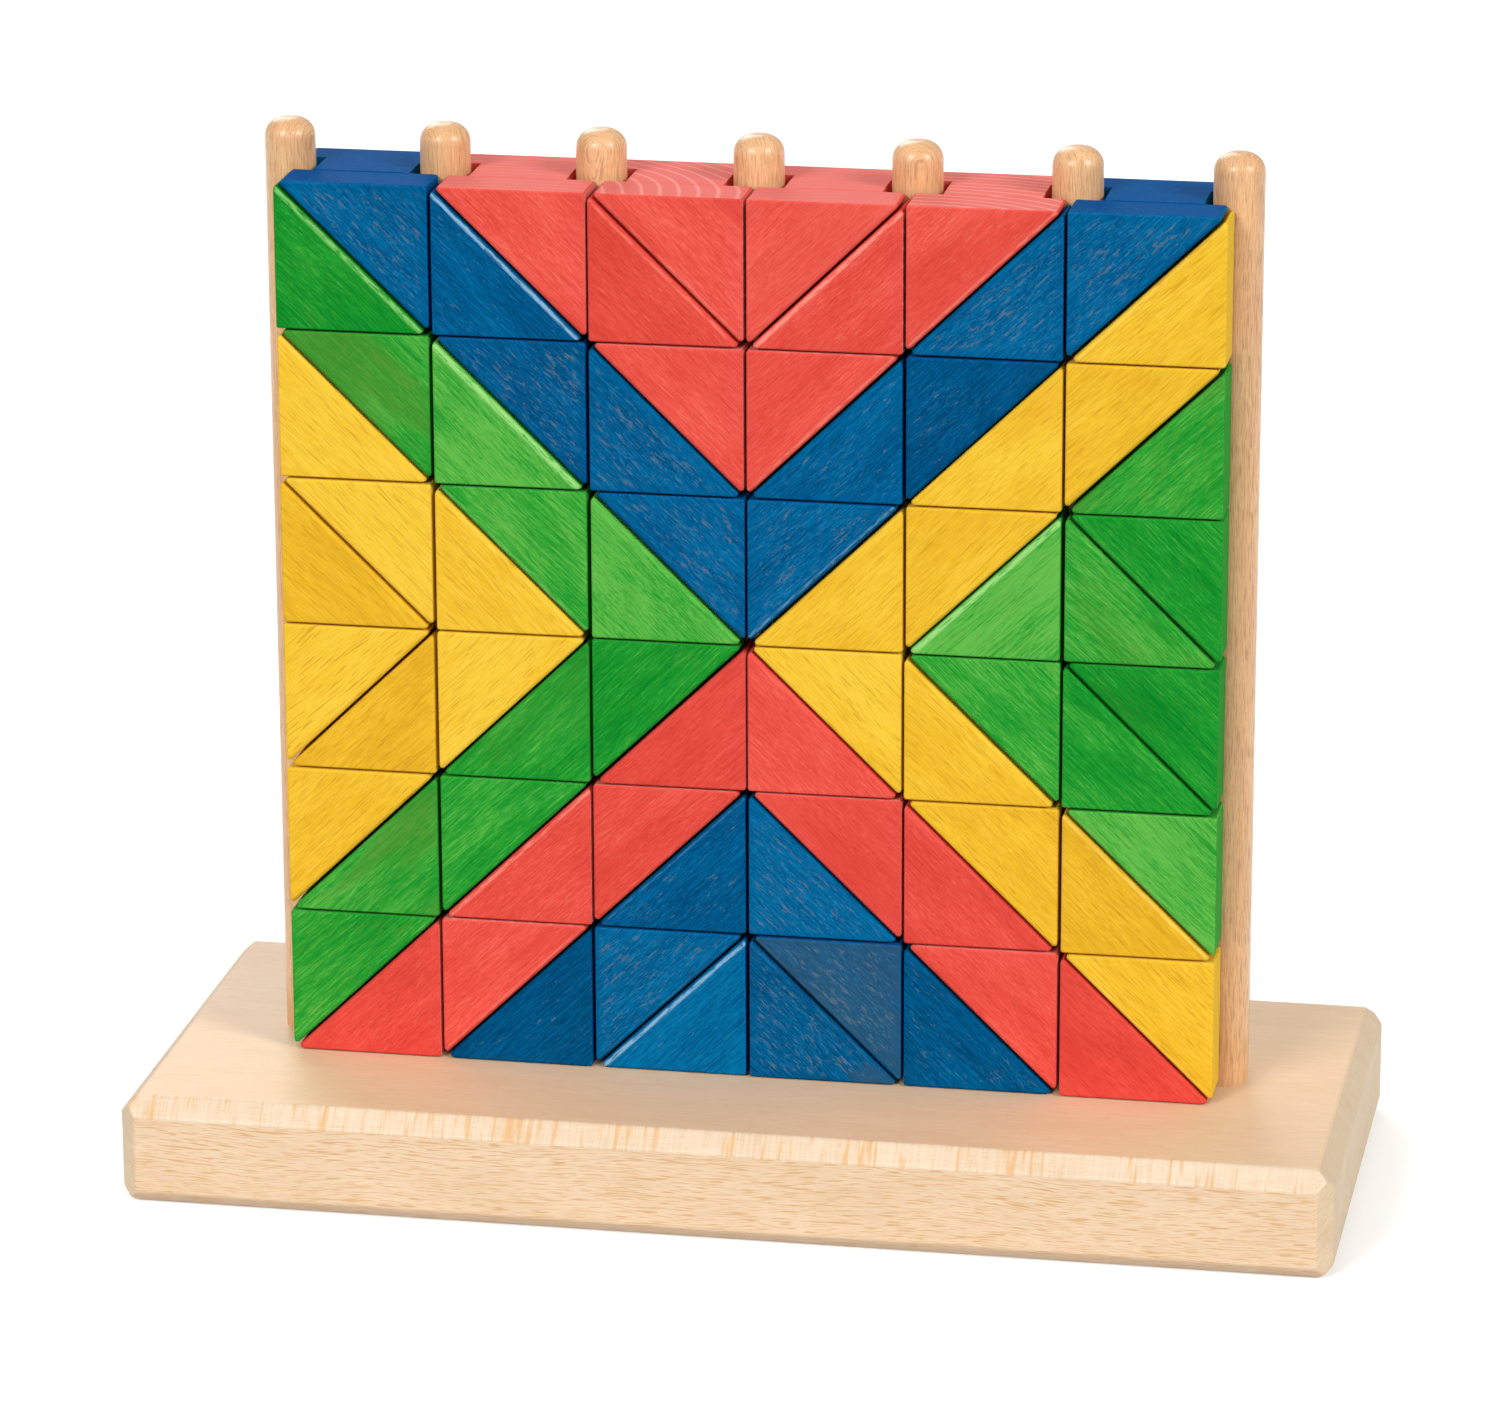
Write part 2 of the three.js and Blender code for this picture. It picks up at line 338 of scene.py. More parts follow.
def stained_material(name, stain, grain, dashes, rays, flakes, bands, worn, cut_colors):
    """Beech stained one colour.

    stain holds its darkest, middle and lightest colour. grain holds the shares of fibres, long
    streaks and slow change in it, how evenly it took, and how far blocks differ. dashes, rays and
    flakes are a colour and a share, for the grain's short lines, the rays' thin lines and the flakes
    that took no stain; dashes ends with how closely its lines follow each other. bands is a colour and
    a share for the bands of darker wood, and how soft their border is. worn is a colour and a share
    for handled edges, and how wide the worn band on the shoulder is, in the slant's radii. cut_colors
    are for the faces that cut the grain, between the rings and on them.
    """
    t = Tree(name)
    wood = t.attribute("wood")
    tone_pale, tone_bare, tone_worn = t.split(t.attribute("tone"))
    dash_color, dash_share, dash_rates = dashes
    figure = beech_figure(t, wood, dash_rates, STAINED_RAY_RATES, 0.60)
    fibre, streak, dash, ray, rings, blotch = figure

    fibre_share, streak_share, blotch_share, evenness, spread = grain
    depth = t.math("MULTIPLY_ADD", fibre, fibre_share, t.times(streak, streak_share))
    depth = t.math("ADD", depth, t.times(blotch, blotch_share))
    depth = t.math("ADD", depth, t.math("MULTIPLY_ADD", tone_pale, spread, -spread / 2))
    dark, middle, light = stain
    color = t.ramp(depth, [(0.5 - evenness, dark), (0.5, middle), (0.5 + evenness, light)])

    # Bands of darker wood, in about a third of the blocks. The last digits of a block's bareness are
    # as good as a number of its own for it.
    band_color, band_share, softness = bands
    banded = t.step(t.math("FRACT", t.times(tone_bare, 7.3)), 0.60, 0.75)
    band = t.noise(wood, BAND_RATES, 2)
    band = t.step(t.math("MULTIPLY_ADD", fibre, 0.07, band), 0.53, 0.53 + softness)
    band = t.times(band, t.times(banded, band_share))
    color = t.mix(band, color, band_color)

    # Short lines of the grain, more of them in some blocks and away from the handled arrises.
    arris, slant, face, leg = edge_distance(t, t.attribute("cell"))
    inner = t.step(t.math("MINIMUM", leg, slant), 0.6, 2.4, 0.1, 1.0)
    where = t.noise(wood, DASHED_RATES, 2)
    where = t.math("ADD", where, t.math("MULTIPLY_ADD", tone_bare, 0.5, -0.25))
    dash = t.times(dash, t.step(where, 0.35, 0.65, 0.15, 1.0))
    color = t.paint(color, dash_color, t.times(dash, inner), dash_share)
    ray_color, ray_share = rays
    color = t.paint(color, ray_color, ray, ray_share)

    # Where the stain didn't take: small ragged flakes along the grain.
    flake = t.noise(wood, FLAKE_RATES, 4, 0.66)
    gate = t.math("MULTIPLY_ADD", tone_bare, 0.05, t.math("MULTIPLY_ADD", where, 0.08, flake))
    flake_mask = t.times(t.step(gate, 0.685, 0.715), inner)
    flake_color, flake_share = flakes
    color = t.paint(color, flake_color, flake_mask, flake_share)

    # The legs' faces cut the grain at 45 degrees: paler, with the rings showing in some of them.
    cut = t.step(leg, 0.12, 0.02)
    shown = t.step(tone_worn, 0.35, 0.9, 0.12, 0.9)
    scratch = t.step(t.noise(t.attribute("cell"), SCRATCH_RATES, 2), 0.63, 0.72)
    pale = t.mix(t.times(rings, shown), *cut_colors)
    worn_color, worn_share, worn_width = worn
    pale = t.paint(pale, worn_color, scratch, 0.25)
    color = t.paint(color, pale, cut, 0.8)

    # Handled arrises: the stain is thin, most of all on the slant's shoulder.
    rub = t.noise(wood, RUB_RATES, 3, 0.65)
    edge = t.times(t.step(arris, 0.5, 0.1), t.step(rub, 0.5, 0.7, 0.0, 0.12))
    radius, _, _ = t.split(t.attribute("edge"))
    past = t.math("SUBTRACT", t.math("DIVIDE", slant, radius), 1.45)
    past = t.math("MULTIPLY_ADD", rub, 1.2, past)
    rubbed = t.step(tone_worn, 0.5, 1.0)
    width = t.math("MULTIPLY_ADD", rubbed, 1.2 * worn_width, 0.5 * worn_width)
    shoulder = t.step(t.math("ABSOLUTE", past), width, t.times(width, 0.35))
    shoulder = t.times(shoulder, t.step(face, 0.6, 0.2))
    ragged = t.step(t.math("MULTIPLY_ADD", rubbed, 0.08, rub), 0.42, 0.58, 0.1, 1.0)
    shoulder = t.times(shoulder, ragged)
    shoulder = t.times(shoulder, t.times(rubbed, worn_share))
    color = t.mix(t.math("MAXIMUM", edge, shoulder), color, worn_color)

    t.put(t.shader.inputs["Base Color"], color)
    roughness = t.math("MULTIPLY_ADD", fibre, 0.25, 0.42)
    t.put(t.shader.inputs["Roughness"], t.math("ADD", roughness, t.times(flake_mask, 0.15)))
    t.shader.inputs["Specular IOR Level"].default_value = 0.01
    height = t.math("MULTIPLY_ADD", fibre, 0.7, t.times(dash, -0.4))
    t.bump(height, 0.4, BUMP_DEPTH)
    return t.material


MATERIALS = {
    "r": stained_material(
        "red_stain",
        stain=(srgb(196, 60, 50), srgb(217, 76, 65), srgb(232, 104, 90)),
        grain=(0.5, 0.25, 0.25, 0.16, 0.16),
        dashes=(srgb(196, 52, 42), 0.40, (0.4, 5.0)),
        rays=(srgb(190, 50, 40), 0.3),
        flakes=(srgb(230, 130, 110), 0.15),
        bands=(srgb(204, 64, 56), 0.5, 0.08),
        worn=(srgb(246, 160, 142), 0.6, 0.45),
        cut_colors=(srgb(222, 122, 114), srgb(244, 168, 160)),
    ),
    "b": stained_material(
        "blue_stain",
        stain=(srgb(0, 61, 101), srgb(0, 85, 134), srgb(4, 109, 158)),
        grain=(0.5, 0.34, 0.16, 0.13, 0.14),
        dashes=(srgb(72, 132, 168), 0.34, (0.6, 5.6)),
        rays=(srgb(0, 60, 104), 0.4),
        flakes=(srgb(88, 108, 122), 0.62),
        bands=(srgb(44, 76, 100), 0.62, 0.02),
        worn=(srgb(136, 176, 204), 0.8, 0.34),
        cut_colors=(srgb(0, 74, 140), srgb(0, 92, 156)),
    ),
    "g": stained_material(
        "green_stain",
        stain=(srgb(4, 120, 34), srgb(32, 147, 46), srgb(96, 176, 72)),
        grain=(0.4, 0.35, 0.25, 0.14, 0.22),
        dashes=(srgb(92, 134, 44), 0.40, (0.3, 5.0)),
        rays=(srgb(40, 120, 30), 0.3),
        flakes=(srgb(122, 152, 62), 0.15),
        bands=(srgb(70, 128, 42), 0.6, 0.12),
        worn=(srgb(152, 208, 122), 0.85, 0.6),
        cut_colors=(srgb(44, 142, 50), srgb(76, 160, 72)),
    ),
    "y": stained_material(
        "yellow_stain",
        stain=(srgb(212, 162, 36), srgb(226, 180, 46), srgb(235, 193, 66)),
        grain=(0.4, 0.35, 0.25, 0.14, 0.16),
        dashes=(srgb(190, 132, 28), 0.4, (0.28, 6.0)),
        rays=(srgb(176, 118, 22), 0.42),
        flakes=(srgb(226, 168, 80), 0.12),
        bands=(srgb(218, 166, 40), 0.5, 0.10),
        worn=(srgb(246, 220, 130), 0.5, 0.4),
        cut_colors=(srgb(226, 184, 56), srgb(236, 202, 90)),
    ),
}


def beech_material(name, wood_colors, rays, roughness, dashes=None, lacquer=0.0, quarter=False):
    """Bare beech.

    wood_colors holds its darkest, middle and lightest colour, and dashes and rays a colour and a
    share each. quarter is for a face along the tree's radius, which shows the rays' flat sides and no
    dashes.
    """
    t = Tree(name)
    wood = t.attribute("wood")
    figure = beech_figure(t, wood, BARE_DASH_RATES, BARE_RAY_RATES, 0.565)
    fibre, streak, dash, ray, rings, blotch = figure
    depth = t.math("MULTIPLY_ADD", fibre, 0.40, t.times(streak, 0.32))
    depth = t.math("ADD", depth, t.times(blotch, 0.28))
    dark, middle, light = wood_colors
    color = t.ramp(depth, [(0.36, dark), (0.50, middle), (0.64, light)])
    ray_color, ray_share = rays
    if quarter:
        line = t.step(t.noise(wood, QUARTER_LINE_RATES, 1), 0.40, 0.62)
        color = t.paint(color, light, line, 0.45)
        near = t.noise(wood, QUARTER_NEAR_RATES, 1)
        spot = t.noise(wood, QUARTER_SPOT_RATES, 1, 0.6)
        spot = t.step(t.math("MULTIPLY_ADD", near, 0.35, t.times(spot, 0.65)), 0.50, 0.66)
        color = t.paint(color, ray_color, spot, ray_share)
    else:
        dash_color, dash_share = dashes
        color = t.paint(color, dark, rings, 0.12)
        color = t.paint(color, dash_color, dash, dash_share)
        color = t.paint(color, ray_color, ray, ray_share)
    t.put(t.shader.inputs["Base Color"], color)
    t.put(t.shader.inputs["Roughness"], t.math("MULTIPLY_ADD", fibre, 0.2, roughness))
    t.shader.inputs["Specular IOR Level"].default_value = 0.35
    t.shader.inputs["Coat Weight"].default_value = lacquer
    t.shader.inputs["Coat Roughness"].default_value = 0.26
    height = t.math("MULTIPLY_ADD", fibre, 0.6, t.times(dash, -0.5))
    t.bump(height, 0.3, BUMP_DEPTH)
    return t.material


BASE_WOOD = beech_material(
    "base_beech",
    wood_colors=(srgb(212, 183, 150), srgb(220, 192, 160), srgb(226, 200, 171)),
    dashes=(srgb(210, 172, 130), 0.2),
    rays=(srgb(204, 158, 108), 0.85),
    roughness=0.32,
)
BASE_TOP_WOOD = beech_material(
    "base_beech_top",
    wood_colors=(srgb(217, 184, 149), srgb(225, 192, 158), srgb(231, 200, 168)),
    dashes=(srgb(214, 178, 140), 0.15),
    rays=(srgb(212, 172, 130), 0.35),
    roughness=0.34,
)
BASE_END_WOOD = beech_material(
    "base_beech_end",
    wood_colors=(srgb(202, 176, 144), srgb(213, 190, 159), srgb(222, 200, 171)),
    dashes=(srgb(196, 164, 128), 0.35),
    rays=(srgb(194, 158, 120), 0.4),
    roughness=0.42,
)
BASE_QUARTER_WOOD = beech_material(
    "base_beech_quarter",
    wood_colors=(srgb(206, 180, 150), srgb(216, 192, 164), srgb(225, 204, 180)),
    rays=(srgb(214, 168, 116), 0.85),
    roughness=0.34,
    quarter=True,
)
DOWEL_WOOD = beech_material(
    "dowel_beech",
    wood_colors=(srgb(204, 154, 106), srgb(220, 171, 122), srgb(230, 187, 140)),
    dashes=(srgb(172, 124, 82), 0.4),
    rays=(srgb(162, 112, 70), 0.5),
    roughness=0.34,
    lacquer=0.5,
)


# ---- pieces ----
FULL_WEIGHT = 100  # of large faces over small ones, in the Weighted Normal modifier


def set_attribute(mesh, name, vectors):
    attribute = mesh.attributes.new(name, "FLOAT_VECTOR", "POINT")
    attribute.data.foreach_set("vector", [c for v in vectors for c in v])


def soften(piece, sharp_angle=40):
    """Smooth shading that keeps large faces flat and edges over sharp_angle degrees hard."""
    piece.data.set_sharp_from_angle(angle=math.radians(sharp_angle))
    weighted = piece.modifiers.new("weighted_normals", "WEIGHTED_NORMAL")
    weighted.keep_sharp = True
    weighted.weight = FULL_WEIGHT


def make_piece(name, points, faces, material, body, replaced):
    """A mesh from points in mm, riding on a body. Its faces may be given either way round."""
    mesh = bpy.data.meshes.new(name)
    mesh.from_pydata([Vector(p) * MM for p in points], [], faces)
    work = bmesh.new()
    work.from_mesh(mesh)
    bmesh.ops.recalc_face_normals(work, faces=work.faces)
    work.to_mesh(mesh)
    work.free()
    mesh.shade_smooth()
    mesh.materials.append(material)
    piece = bpy.data.objects.new(name, mesh)
    bpy.context.scene.collection.objects.link(piece)
    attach(piece, body)
    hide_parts(*replaced)
    return piece


def rounded_triangle(leg_in, slant_in):
    """Outline of a block's face, moved in from its legs and its hypotenuse, with rounded corners.

    It runs anticlockwise from the square corner, CORNER_STEPS + 1 points to a corner.
    """
    w, h = block_width, block_height
    diagonal = math.hypot(w, h)
    reach = (1 - (SLANT_GAP / 2 + slant_in) * diagonal / (w * h)) * w * h
    corner_u = (reach - leg_in * w) / h
    corner_v = (reach - leg_in * h) / w
    corners = [(leg_in, leg_in), (corner_u, leg_in), (leg_in, corner_v)]
    outline = []
    for i, radius in enumerate(CORNER_RADII):
        here = Vector(corners[i])
        back = (Vector(corners[i - 1]) - here).normalized()
        on = (Vector(corners[(i + 1) % 3]) - here).normalized()
        half = back.angle(on) / 2
        centre = here + (back + on).normalized() * radius / math.sin(half)
        start = here + back * radius / math.tan(half) - centre
        turn = math.pi - 2 * half
        for k in range(CORNER_STEPS + 1):
            outline.append(centre + Matrix.Rotation(turn * k / CORNER_STEPS, 2) @ start)
    return outline


def block_shape(slant_radius):
    """Points (u, v, y) and faces of a block: u along the level leg, v up the upright leg, y back."""
    w, h = block_width, block_height
    shy = (SLANT_GAP / 2) * math.hypot(w, h) / (w * h)
    depth = back_y - front_y
    start = SLOT_REACH - SIDE_GAP
    end = w - start
    # The waist is the block's section between the slots, and the web a fuller one that the block has
    # there, so no light comes through the gaps round it.
    waist = [(start, 0), (end, 0), (end, h * (1 - shy - end / w)), (start, h * (1 - shy - start / w))]
    fuller = (SLANT_GAP - WEB_GAP) / 2 * math.hypot(w, h) / w
    below = (STACK_GAP - WEB_GAP) / 2
    web = [(u, v + (fuller if v else -below)) for u, v in waist]
    points, faces, waists, webs = [], [], [], []

    def ring(shape, y):
        first = len(points)
        points.extend((u, v, y) for u, v in shape)
        return list(range(first, first + len(shape)))

    # Which stretches of the outline the waist's two ends lie on, and its points there.
    level, slant = CORNER_STEPS, 2 * CORNER_STEPS + 1
    for face_y, inward, slot_y in ((0, 1, -SLOT_HALF - front_y), (depth, -1, SLOT_HALF - front_y)):
        rings = []
        for leg_in, slant_in, y in edge_profile(slant_radius):
            rings.append(ring(rounded_triangle(leg_in, slant_in), face_y + inward * y))
        shoulder = ring(rounded_triangle(0, 0), slot_y)
        middle = ring(waist, slot_y)
        full = ring(web, slot_y)
        waists.append(middle)
        webs.append(full)
        faces.append([middle[0], middle[1], full[1], full[0]])
        faces.append([middle[2], middle[3], full[3], full[2]])
        n = len(shoulder)
        faces.append(rings[0])
        for near, far in zip(rings, rings[1:]):
            for i in range(n):
                j = (i + 1) % n
                faces.append([near[i], near[j], far[j], far[i]])
        last = rings[-1]
        for i in range(n):
            j = (i + 1) % n
            between = {level: [middle[1], middle[0]], slant: [middle[3], middle[2]]}.get(i, [])
            faces.append([last[i], last[j], shoulder[j], *between, shoulder[i]])
        square = [*shoulder[slant + 1:], *shoulder[:level + 1]]
        faces.append([*square, middle[0], middle[3]])
        faces.append([middle[1], *shoulder[level + 1:slant + 1], middle[2]])
    for i, j in ((0, 1), (2, 3)):
        faces.append([webs[0][i], webs[0][j], webs[1][j], webs[1][i]])
    for i, j in ((1, 2), (3, 0)):
        near, far = [[full[i], middle[i], middle[j], full[j]] for middle, full in zip(waists, webs)]
        faces.append([*near, *reversed(far)])
    return points, faces


# Where in its tree a piece is cut, at random, in mm: along the trunk, from the heart and aside.
TRUNK = 900
BLOCK_HEART = (25, 70)
BLOCK_ASIDE = 12
DOWEL_HEART = (30, 80)

# How far a block's rings lean from its front, in degrees: one in five is cut across a corner.
LEANS = (0, 0, 0, 0, 45)
LEAN_SPREAD = 28


def make_block(column, row, part, leg, color):
    """One block of a cell. part is lower or upper, leg the side of its upright leg.

    A column counts from 0 and a row from 1.
    """
    number = f"c{column + 1}_r{row}"
    seed = random.Random(column * 100 + row * 10 + (part == "upper"))
    body = f"{number}_{part}"
    if body not in frame["bodies"]:
        body = f"{number}_pair" if part == "upper" else f"c{column + 1}_r{row + 1}_pair"
    side = -1 if leg == "L" else 1
    rise = 1 if part == "lower" else -1
    x_mid = (dowel_x[column] + dowel_x[column + 1]) / 2
    floor = base_high.z + (ROWS - row) * row_height
    level = floor + STACK_GAP / 2 if part == "lower" else floor + row_height - STACK_GAP / 2

    sway = Vector((seed.uniform(-SWAY_X, SWAY_X), seed.uniform(-SWAY_Y, SWAY_Y), 0))
    turn = Matrix.Rotation(math.radians(seed.uniform(-TURN, TURN)), 3, "Z")
    middle = Vector((x_mid, (front_y + back_y) / 2, level))
    slant_radius = seed.uniform(*SLANT_RADII)
    shape, faces = block_shape(slant_radius)
    points = []
    for u, v, y in shape:
        p = Vector((x_mid + side * (block_width / 2 - u), front_y + y, level + rise * v))
        points.append(middle + turn @ (p - middle) + sway)
    piece = make_piece(
        f"{COLOR_NAMES[color]}_block_{number}_{part}", points, faces, MATERIALS[color], body,
        [f"block_{body}"],
    )

    grain = Vector((side * block_width, 0, rise * block_height)).normalized()
    lean = seed.choice(LEANS) + seed.uniform(-LEAN_SPREAD, LEAN_SPREAD)
    away = Matrix.Rotation(math.radians(lean), 3, grain) @ Vector((0, 1, 0))
    along_rings = grain.cross(away)
    along = seed.uniform(-TRUNK, TRUNK)
    origin = Vector((along, seed.uniform(*BLOCK_HEART), seed.uniform(-BLOCK_ASIDE, BLOCK_ASIDE)))
    wood = []
    for p in points:
        local = Vector(p) - middle
        wood.append(origin + Vector((local.dot(grain), local.dot(away), local.dot(along_rings))))
    set_attribute(piece.data, "wood", wood)
    set_attribute(piece.data, "cell", shape)
    set_attribute(piece.data, "edge", [(slant_radius, 0, 0)] * len(points))
    tone = (seed.random(), seed.random(), seed.random())
    tone = STRIKING.get(f"{number}_{part}", tone)
    set_attribute(piece.data, "tone", [tone] * len(points))
    soften(piece)


for row_index, cells in enumerate(PATTERN):
    for column, (lower_leg, lower_color, upper_color) in enumerate(cells):
        upper_leg = "R" if lower_leg == "L" else "L"
        make_block(column, row_index + 1, "lower", lower_leg, lower_color)
        make_block(column, row_index + 1, "upper", upper_leg, upper_color)


# The board's chamfers and its arrises' rounding, in mm.
TOP_CHAMFER = 3.4
UPRIGHT_CHAMFER = 3.3
BOTTOM_CHAMFER = 2.5
BASE_ROUNDING = 0.5
BASE_HEART = 130  # from the tree's heart to the board, in mm

BASE_MATERIALS = (BASE_WOOD, BASE_QUARTER_WOOD, BASE_END_WOOD, BASE_TOP_WOOD)


def base_material_index(normal, tangential):
    """Which of BASE_MATERIALS a face has; tangential is square to the radius of the tree's rings."""
    # Along the radius: the chamfers along the front's top and the back's bottom.
    if abs(normal.dot(tangential)) > 0.8:
        return 1
    if abs(normal.x) > 0.5:
        return 2
    return 3 if normal.z > 0.9 else 0


def make_base():
    """The board: a box with its twelve edges cut back at 45 degrees."""
    half_x, half_y, height = base_high.x, base_high.y, base_high.z
    upright = UPRIGHT_CHAMFER
    work = bmesh.new()
    for sx in (-1, 1):
        for sy in (-1, 1):
            for z_flat, inward, cut in ((height, -1, TOP_CHAMFER), (0, 1, BOTTOM_CHAMFER)):
                half = upright / 2
                corner = ((cut, cut, 0), (half, half, cut - half), (upright, 0, cut), (0, upright, cut))
                for in_x, in_y, in_z in corner:
                    work.verts.new((sx * (half_x - in_x), sy * (half_y - in_y), z_flat + inward * in_z))
    bmesh.ops.convex_hull(work, input=work.verts)
    bmesh.ops.dissolve_limit(work, angle_limit=math.radians(1), verts=work.verts, edges=work.edges)
    bmesh.ops.bevel(
        work, geom=work.edges, offset=BASE_ROUNDING, segments=3, profile=0.5, affect="EDGES",
    )
    work.verts.index_update()
    points = [v.co.copy() for v in work.verts]
    faces = [[v.index for v in f.verts] for f in work.faces]
    work.free()
    piece = make_piece("base_board", points, faces, BASE_MATERIALS[0], "stand", ["base"])
    radial = Vector((0, 1, 1)).normalized()
    tangential = Vector((0, -1, 1)).normalized()
    wood = [(p.x, BASE_HEART + p.dot(radial), p.dot(tangential)) for p in points]
    set_attribute(piece.data, "wood", wood)
    for material in BASE_MATERIALS[1:]:
        piece.data.materials.append(material)
    for face in piece.data.polygons:
        face.material_index = base_material_index(face.normal, tangential)
    soften(piece, 60)


# A dowel's domed end, in mm: its height, the radius of the flat at its top and how far below it the
# plain rod's last ring lies. The rod starts a little way inside the board.
DOME_HEIGHT = 3.7
DOME_FLAT = 1.0
DOME_STEPS = 12
ROD_RING = 20
ROD_SUNK = 3
DOWEL_SIDES = 64
DOWEL_SEED = 500


def make_dowel(index):
    """A turned dowel with a domed end, from just inside the board to its top."""
    name = f"dowel_{index + 1}"
    low, high = box_mm(name)
    radius = (high.x - low.x) / 2
    centre = (low + high) / 2
    seed = random.Random(DOWEL_SEED + index)
    sides = DOWEL_SIDES
    profile = [(radius, base_high.z - ROD_SUNK), (radius, high.z - DOME_HEIGHT - ROD_RING)]
    for i in range(DOME_STEPS + 1):
        a = i / DOME_STEPS * math.pi / 2
        r = DOME_FLAT + (radius - DOME_FLAT) * math.cos(a)
        profile.append((r, high.z - DOME_HEIGHT + DOME_HEIGHT * math.sin(a)))
    points, faces = [], []
    for r, z in profile:
        for k in range(sides):
            a = math.tau * k / sides
            points.append(Vector((centre.x + r * math.cos(a), centre.y + r * math.sin(a), z)))
    for j in range(len(profile) - 1):
        for k in range(sides):
            m = (k + 1) % sides
            faces.append([j * sides + k, j * sides + m, (j + 1) * sides + m, (j + 1) * sides + k])
    faces.append(list(range(sides)))
    faces.append(list(range((len(profile) - 1) * sides, len(profile) * sides)))
    piece = make_piece(f"turned_{name}", points, faces, DOWEL_WOOD, "stand", [name])
    turn = Matrix.Rotation(seed.uniform(0, math.tau), 3, "Z")
    origin = Vector((seed.uniform(-TRUNK, TRUNK), seed.uniform(*DOWEL_HEART), 0))
    wood = []
    for p in points:
        local = turn @ (p - centre)
        wood.append(origin + Vector((local.z, local.x, local.y)))
    set_attribute(piece.data, "wood", wood)
    soften(piece)


make_base()
for dowel_index in range(COLUMNS + 1):
    make_dowel(dowel_index)


# ---- stage, lights, camera ----
# Sizes in metres. The wall is far enough off for a camera that stands back to take in every block
# lifted at once, and near enough to be seen by one that takes in the object at rest.
FLOOR_SIZE = 28
FLOOR_DROP = 0.0002  # below the board's underside
FLOOR_COLOR = 0.94
FLOOR_GLOW = 0.2
PATCH_DROP = 0.0003
PATCH_BORDER = 0.025  # round the board
PATCH_COLOR = 0.6
WALL_RADIUS = 13.5
WALL_BOTTOM = -0.1
WALL_TOP = 16.0
WALL_SIDES = 96

# Each sun: its name, azimuth, elevation, strength and how wide it is, in degrees but the strength.
SUNS = [
    ("key", 58, 30, 1.8, 20),
    ("fill", -25, 30, 1.82, 20),
    ("rear", 205, 28, 0.9, 30),
]
SKY_STRENGTH = 0.5

# The camera looks at a point near the middle of the wall of blocks.
CAMERA_TARGET = (-0.0022, 0, 0.0946)
CAMERA_AZIMUTH = 10.6
CAMERA_ELEVATION = 17.47
CAMERA_DISTANCE = 1.3445
CAMERA_ROLL = -0.21
LENS = 162.2  # mm, on a sensor 36 mm wide


def stage_piece(name, points, faces, color, glow=0.0):
    """A part of the studio, from points in metres. It shines by itself if glow isn't 0."""
    t = Tree(name)
    t.shader.inputs["Base Color"].default_value = (color, color, color, 1)
    t.shader.inputs["Roughness"].default_value = 0.9
    t.shader.inputs["Specular IOR Level"].default_value = 0.1
    t.shader.inputs["Emission Color"].default_value = (1, 1, 1, 1)
    t.shader.inputs["Emission Strength"].default_value = glow
    mesh = bpy.data.meshes.new(name)
    mesh.from_pydata(points, [], faces)
    mesh.materials.append(t.material)
    piece = bpy.data.objects.new(name, mesh)
    bpy.context.scene.collection.objects.link(piece)
    return piece


def rectangle(size_x, size_y, z):
    corners = [(-1, -1), (1, -1), (1, 1), (-1, 1)]
    return [(x * size_x / 2, y * size_y / 2, z) for x, y in corners], [(0, 1, 2, 3)]


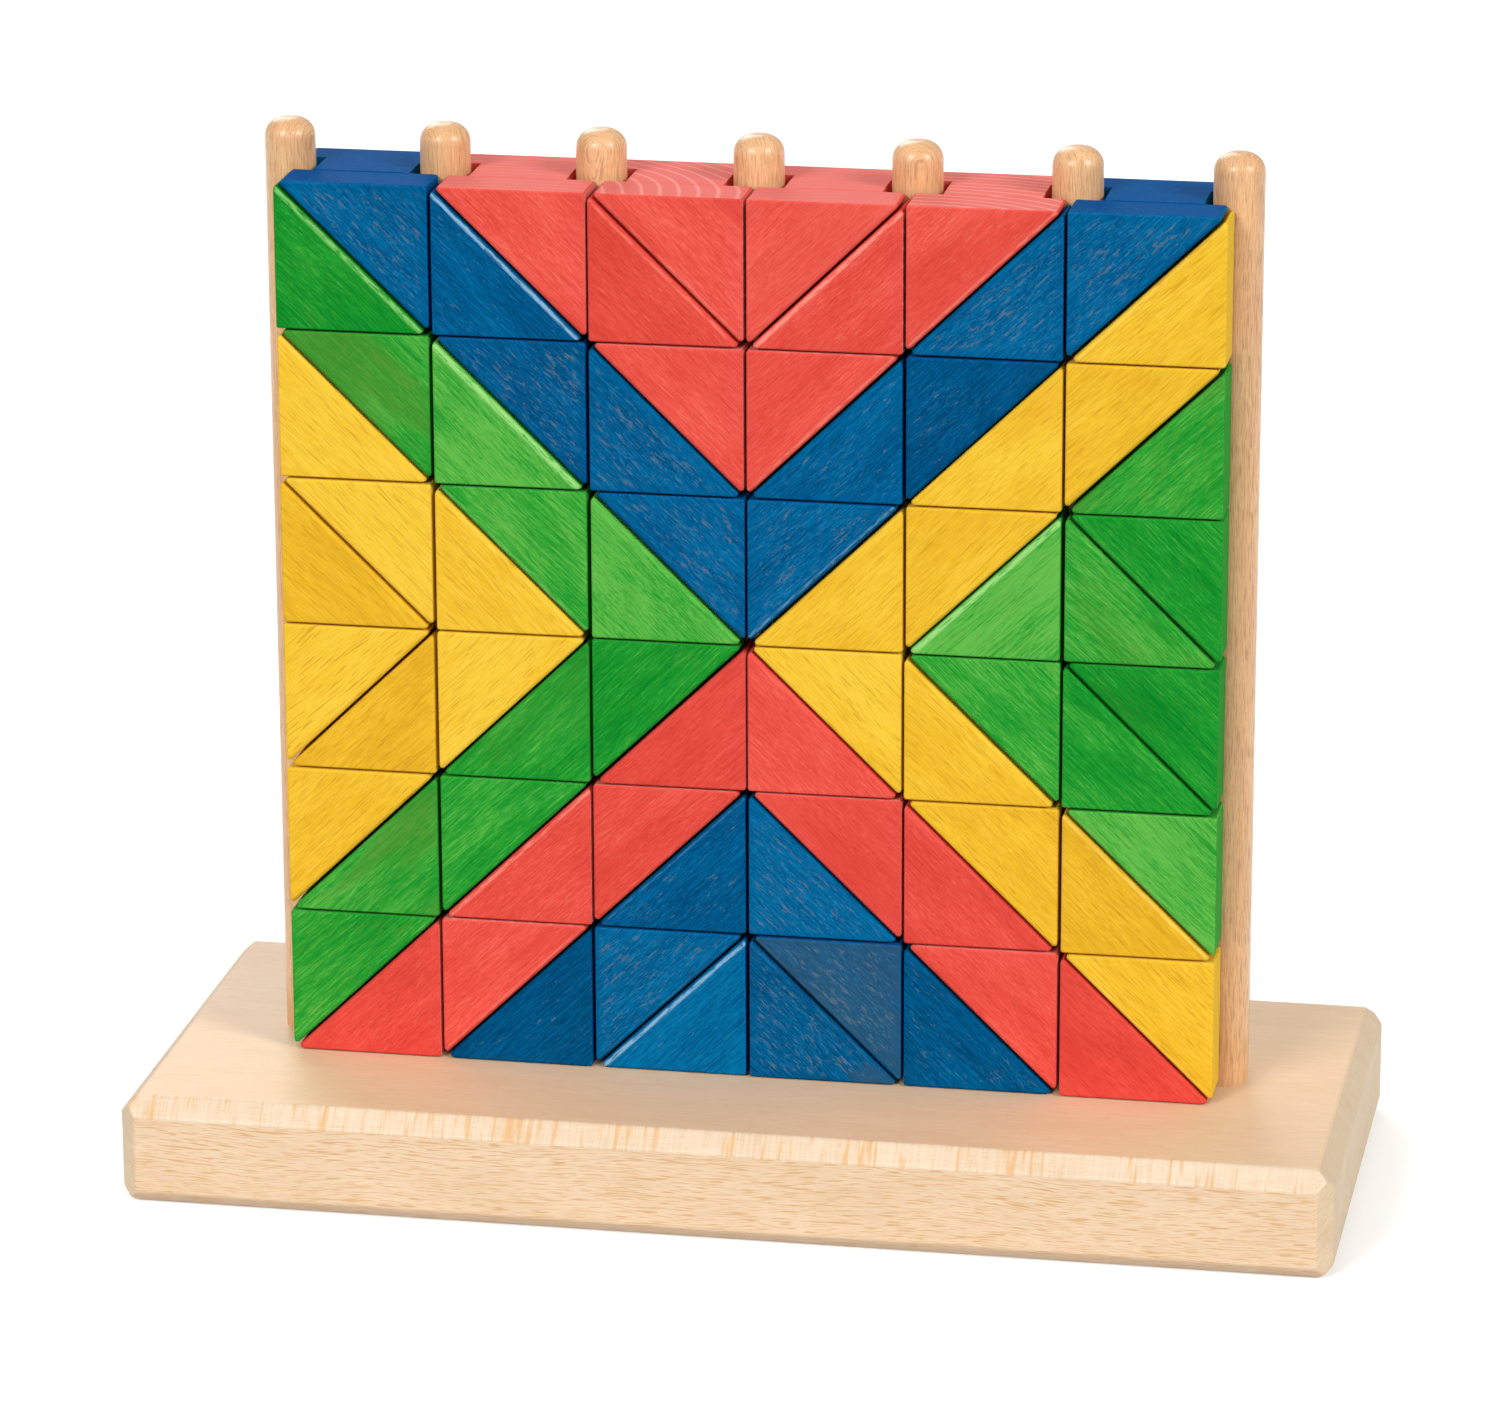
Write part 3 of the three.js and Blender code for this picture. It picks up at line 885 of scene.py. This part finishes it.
def make_studio():
    """A wide floor that throws no light up at the object but for a patch round it, and a pale wall.

    The wall is a ring round the floor that only the camera sees.
    """
    shape = rectangle(FLOOR_SIZE, FLOOR_SIZE, -FLOOR_DROP)
    floor = stage_piece("studio_floor", *shape, FLOOR_COLOR, FLOOR_GLOW)
    floor.visible_diffuse = False
    floor.visible_shadow = False
    size_x, size_y = (2 * side * MM + 2 * PATCH_BORDER for side in (base_high.x, base_high.y))
    stage_piece("studio_floor_patch", *rectangle(size_x, size_y, -PATCH_DROP), PATCH_COLOR)

    points, faces = [], []
    for k in range(WALL_SIDES):
        a = math.tau * k / WALL_SIDES
        x, y = WALL_RADIUS * math.cos(a), WALL_RADIUS * math.sin(a)
        points += [(x, y, WALL_BOTTOM), (x, y, WALL_TOP)]
        n = 2 * ((k + 1) % WALL_SIDES)
        faces.append((2 * k, n, n + 1, 2 * k + 1))
    wall = stage_piece("studio_wall", points, faces, 0.0, 1.0)
    wall.visible_diffuse = False
    wall.visible_glossy = False
    wall.visible_shadow = False


def toward(azimuth, elevation):
    """A unit vector from the object. Azimuth 0 is in front, 90 to the right."""
    a, e = math.radians(azimuth), math.radians(elevation)
    return Vector((math.sin(a) * math.cos(e), -math.cos(a) * math.cos(e), math.sin(e)))


def add_sun(name, azimuth, elevation, strength, width):
    data = bpy.data.lights.new(name, "SUN")
    data.energy = strength
    data.angle = math.radians(width)
    light = bpy.data.objects.new(name, data)
    bpy.context.scene.collection.objects.link(light)
    light.rotation_euler = toward(azimuth, elevation).to_track_quat("Z", "Y").to_euler()


def make_camera():
    back = toward(CAMERA_AZIMUTH, CAMERA_ELEVATION)
    data = bpy.data.cameras.new("camera")
    data.sensor_width = 36
    data.lens = LENS
    data.clip_start = 0.01
    camera = bpy.data.objects.new("camera", data)
    bpy.context.scene.collection.objects.link(camera)
    camera.location = Vector(CAMERA_TARGET) + back * CAMERA_DISTANCE
    roll = Matrix.Rotation(math.radians(CAMERA_ROLL), 4, "Z")
    camera.rotation_euler = (back.to_track_quat("Z", "Y").to_matrix().to_4x4() @ roll).to_euler()
    bpy.context.scene.camera = camera


make_studio()
for sun in SUNS:
    add_sun(*sun)
make_camera()

world = bpy.data.worlds.new("studio")
bpy.context.scene.world = world
world.use_nodes = True
sky = world.node_tree.nodes["Background"]
sky.inputs["Color"].default_value = (1, 1, 1, 1)
sky.inputs["Strength"].default_value = SKY_STRENGTH
bpy.context.scene.view_settings.view_transform = "Standard"

bpy.context.view_layer.update()
